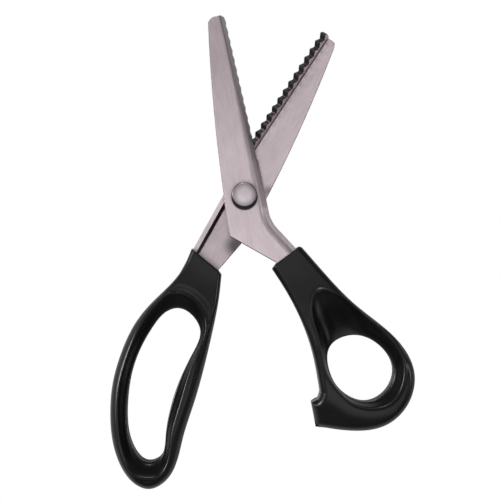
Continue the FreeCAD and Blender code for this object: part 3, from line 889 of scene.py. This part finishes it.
def brushed_steel(name, angle, tones, rough, rings=(), bands=(), rim=None):
    """Fine brushing along the blade over faint mottling.

    ``tones`` are the darkest and lightest colour.  ``rings`` and ``bands`` paint shade, cast
    shadow and highlight into it, and ``rim`` paints shade along the plate's edge.
    """
    material, nodes, links, shader = new_material(name)
    along = turned(nodes, links, angle, STREAK_STRETCH)
    streaks = noise(nodes, links, along, STREAK_SCALE, 3)
    cloud = noise(nodes, links, turned(nodes, links, angle, MOTTLE_STRETCH), MOTTLE_SCALE, 5, 0.6)
    mottle = computed(nodes, links, "MULTIPLY", cloud, 1 - STREAK_SHARE)
    mix = computed(nodes, links, "MULTIPLY_ADD", streaks, STREAK_SHARE, mottle)
    colour = colour_ramp(nodes, links, mix, [(0.3, tones[0]), (0.7, tones[1])])
    for ring in rings:
        colour = shade_ring(nodes, links, colour, *ring)
    for band in bands:
        colour = shade_band(nodes, links, colour, *band)
    if rim:
        colour = paint_edge_shade(nodes, links, colour, *rim)
    links.new(colour, shader.inputs["Base Color"])
    shader.inputs["Metallic"].default_value = 1.0
    roughness = between(nodes, links, streaks, rough - 0.05, rough + 0.07)
    links.new(roughness, shader.inputs["Roughness"])
    bump(nodes, links, shader, streaks, 0.25, 0.00002)
    return material


def moulded_plastic(name):
    """Black moulded plastic: fine spark-eroded grain and a few light rubs.

    It shines least in the thumb handle's funnel and at the bottom of the finger handle.
    """
    material, nodes, links, shader = new_material(name)
    coordinates = object_coordinates(nodes)
    grain = noise(nodes, links, coordinates, GRAIN_SCALE, 3)
    cloud = noise(nodes, links, coordinates, RUB_SCALE, 4, 0.6)
    colour = colour_ramp(nodes, links, cloud, [(0.3, PLASTIC_TONES[0]), (0.7, PLASTIC_TONES[1])])
    links.new(colour, shader.inputs["Base Color"])
    links.new(between(nodes, links, cloud, 0.24, 0.36), shader.inputs["Roughness"])
    # painted shade: less shine in the thumb handle's funnel and at the finger handle's bottom darkens
    # them as shade would
    funnel = ring_fade(nodes, links, FUNNEL, 4.0, 11.5, 0.3, 1.0)
    bottom = ring_fade(nodes, links, FINGER_BOTTOM, 3.0, 9.0, 0.1, 0.23)
    shine = computed(nodes, links, "MULTIPLY", funnel, bottom)
    links.new(shine, shader.inputs["Specular IOR Level"])
    bump(nodes, links, shader, grain, 0.12, 0.00003)
    return material


# darkest and lightest colour of each finish
PLASTIC_TONES = (0.0023, 0.0023, 0.0026), (0.0036, 0.0035, 0.0036)
FRONT_TONES = (0.45, 0.384, 0.41), (0.60, 0.513, 0.547)
# the rear plate's steel is the front's, painted about 7% lighter to make up for the light it gets
REAR_LIGHTENED_TONES = (0.482, 0.412, 0.438), (0.642, 0.551, 0.584)
FACET_TONES = (0.219, 0.191, 0.203), (0.292, 0.256, 0.27)
STRIP_TONES = (0.43, 0.371, 0.394), (0.567, 0.496, 0.519)
# painted shade and painted light on the toothed edge: darker and lighter copies of the strip's steel
SHADED_EDGE_TONES = (0.03, 0.028, 0.029), (0.06, 0.055, 0.058)
FLANK_LIT_TONES = (0.09, 0.08, 0.085), (0.14, 0.125, 0.13)
BOLT_TONES = (0.46, 0.409, 0.438), (0.613, 0.548, 0.577)
BRONZE_TONES = (0.35, 0.26, 0.15), (0.45, 0.34, 0.2)

# lines that shaded bands lie along, in the frame of the whole
FRONT_SEAM = place_front(np.array([(SEAM, 92.0, 0.0), (SEAM, -8.0, 0.0)]))
FRONT_HEEL = place_front(np.array([(-11.6, -18.4, 0.0), (7.3, -35.7, 0.0)]))
REAR_SEAM = place_rear(np.array([(SEAM, 88.0, 0.0), (SEAM, STRIP_START, 0.0)]))
REAR_FLANGE = place_rear(np.array([(6.5, -5.5, 0.0), (2.9, -56.0, 0.0)]))

# rings are (centre, inner, outer, strength), bands (start, end, near, far, factor, soft)
HEAD_CAST_SHADOW = ((0, -1.1), 6.2, 6.8, 0.93)           # painted shadow: a dark crescent below the bolt head, for the shadow the head casts
# painted shade: a faint darkening all round the bolt head
HEAD_PAINTED_SHADE = ((0, -0.3), 6.2, 8.6, 0.2)
# painted shade: the front blade darkens towards its tip
FRONT_TIP_PAINTED_SHADE = ((-21, 88), 0, 80, 0.3)
# painted shadow of the front plate's heel on the rear tang: dark close by, with a broad fainter shade
# round it
HEEL_CAST_SHADOW = ((-4.2, -25.2), 1.5, 8.0, 0.72)
TANG_PAINTED_SHADE = ((-8.0, -24.0), 2.0, 22.0, 0.3)
FLANGE_CAST_SHADOW = ((12.0, 2.0), 0.5, 4.5, 0.5)         # painted shadow on the rear blade beside the pivot, where the front flange crosses it
# painted shade on the bolt head: darker at its rounded rim and towards its edge, lighter in the middle
HEAD_RIM_PAINTED_SHADE = ((0, 0), 5.95, 5.5, 0.75)
HEAD_FACE_PAINTED_SHADE = ((0, 0.1), 6.4, 2.2, 0.66)

front_steel = brushed_steel("brushed_front", FRONT_TURN, FRONT_TONES, 0.40,
                            [HEAD_CAST_SHADOW, HEAD_PAINTED_SHADE, FRONT_TIP_PAINTED_SHADE],
                            # painted shade on the bend beside the seam, and a painted dark line along
                            # the heel edge
                            [(*FRONT_SEAM, -5.0, 0.9, 0.6, 1.3), (*FRONT_HEEL, -0.35, 0.3, 0.25)],
                            (0.5, 0.45))
rear_steel = brushed_steel("brushed_rear", REAR_TURN, REAR_LIGHTENED_TONES, 0.38,
                           [HEEL_CAST_SHADOW, TANG_PAINTED_SHADE, FLANGE_CAST_SHADOW],
                           # a painted highlight along the seam's chamfer, and painted shade on the
                           # flange's inner wall
                           [(*REAR_SEAM, -0.85, -0.12, 1.25), (*REAR_FLANGE, -1.2, 0.25, 0.1)],
                           (0.4, 0.4))
front_teeth = brushed_steel("tooth_steel_front", FRONT_TURN, FACET_TONES, 0.5)
rear_teeth = brushed_steel("tooth_steel_rear", REAR_TURN, STRIP_TONES, 0.55, (),
                           # painted shade in the groove along the seam
                           [(*REAR_SEAM, -0.2, 0.55, 0.3)])
bolt_steel = brushed_steel("bolt_steel", 0.3, BOLT_TONES, 0.38, [HEAD_RIM_PAINTED_SHADE, HEAD_FACE_PAINTED_SHADE])
shaded_edge_material = brushed_steel("tooth_edge_painted_shade", REAR_TURN, SHADED_EDGE_TONES, 0.6)
lit_flank_material = brushed_steel("tooth_flank_painted_light", REAR_TURN, FLANK_LIT_TONES, 0.5)
washer_bronze = brushed_steel("washer_bronze", 0.3, BRONZE_TONES, 0.35)
plastic = moulded_plastic("handle_plastic")

# ------------------------------------------------------------------ pieces on their bodies

NODE_MATERIALS = {
    "pivot_bushing": bolt_steel, "spring_washer": bolt_steel,
    "pivot_nut": bolt_steel, "friction_washer": washer_bronze,
}
for node, material in NODE_MATERIALS.items():
    for material_slot in frame["nodes"][node].material_slots:
        material_slot.material = material

PIECES = [
    (finger_handle, "finger_handle", "lower", "handle_plastic", plastic),
    (thumb_handle, "thumb_handle", "upper", "handle_plastic", plastic),
    (front_plate, "front_blade", "upper", "plate_steel", front_steel),
    (rear_plate, "rear_blade", "lower", "plate_steel", rear_steel),
    (front_strip, "front_tooth_strip", "upper", "tooth_steel", front_teeth),
    (rear_strip, "rear_tooth_strip", "lower", "tooth_steel", rear_teeth),
    (bolt, "pivot_bolt", "upper", "bolt_steel", bolt_steel),
]
for piece, node, body, slot, material in PIECES:
    piece.data.materials.append(material)
    if slot == "tooth_steel":
        piece.data.materials.append(shaded_edge_material)
        piece.data.materials.append(lit_flank_material)
    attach(piece, body)
    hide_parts(node)

# ------------------------------------------------------------------ floor, light and camera
# Places here are in metres.

VIEW_CENTRE = (0.0027, -0.0272)
VIEW_SIZE = 0.2481                                 # width of the view at the mid plane
VIEW_DISTANCE = 0.577
SENSOR_WIDTH = 36
FLOOR_HEIGHT = CAD_BOX[0][2] - 0.0002
LIGHT_TARGET = (0, -0.03, 0)
LIGHTS = [                                         # name, place, size, power in watts
    ("key", (-0.2, 1.15, 1.15), (0.3, 0.2), 16),
    ("left", (-1.3, 0.1, 0.8), (0.4, 0.4), 26),
    ("right", (1.3, -0.1, 0.8), (0.4, 0.4), 4.4),
    ("overhead", (0.0, -0.40, 1.47), (1.1, 0.9), 4.9),
]
WORLD_STRENGTH = 0.23

bpy.ops.mesh.primitive_plane_add(size=4, location=(*VIEW_CENTRE, FLOOR_HEIGHT))
floor = bpy.context.object
floor.name = "floor"
floor_material, nodes, links, shader = new_material("floor_white")
shader.inputs["Base Color"].default_value = (0.6, 0.6, 0.6, 1)
shader.inputs["Roughness"].default_value = 0.9
# the camera sees an even white floor, while the pieces are lit from a grey one
glow = nodes.new("ShaderNodeEmission")
seen = nodes.new("ShaderNodeLightPath")
choice = nodes.new("ShaderNodeMixShader")
links.new(seen.outputs["Is Camera Ray"], choice.inputs[0])
links.new(shader.outputs[0], choice.inputs[1])
links.new(glow.outputs[0], choice.inputs[2])
links.new(choice.outputs[0], nodes["Material Output"].inputs["Surface"])
floor.data.materials.append(floor_material)


def area_light(name, place, size, power):
    """A rectangular light that faces the middle of the object."""
    light = bpy.data.lights.new(name, "AREA")
    light.shape = "RECTANGLE"
    light.size, light.size_y = size
    light.energy = power
    lamp = bpy.data.objects.new(name, light)
    lamp.location = place
    direction = np.array(LIGHT_TARGET) - np.array(place)
    lamp.rotation_euler = mathutils.Vector(direction).to_track_quat("-Z", "Y").to_euler()
    bpy.context.scene.collection.objects.link(lamp)


for light_row in LIGHTS:
    area_light(*light_row)

world = bpy.data.worlds.new("studio")
bpy.context.scene.world = world
world.use_nodes = True
world.node_tree.nodes["Background"].inputs["Color"].default_value = (1, 1, 1, 1)
world.node_tree.nodes["Background"].inputs["Strength"].default_value = WORLD_STRENGTH

camera_data = bpy.data.cameras.new("camera")
camera_data.sensor_width = SENSOR_WIDTH
camera_data.lens = SENSOR_WIDTH * VIEW_DISTANCE / VIEW_SIZE
camera = bpy.data.objects.new("camera", camera_data)
camera.location = (*VIEW_CENTRE, MID_HEIGHT * MM + VIEW_DISTANCE)
bpy.context.scene.collection.objects.link(camera)
bpy.context.scene.camera = camera
bpy.context.scene.view_settings.view_transform = "Standard"
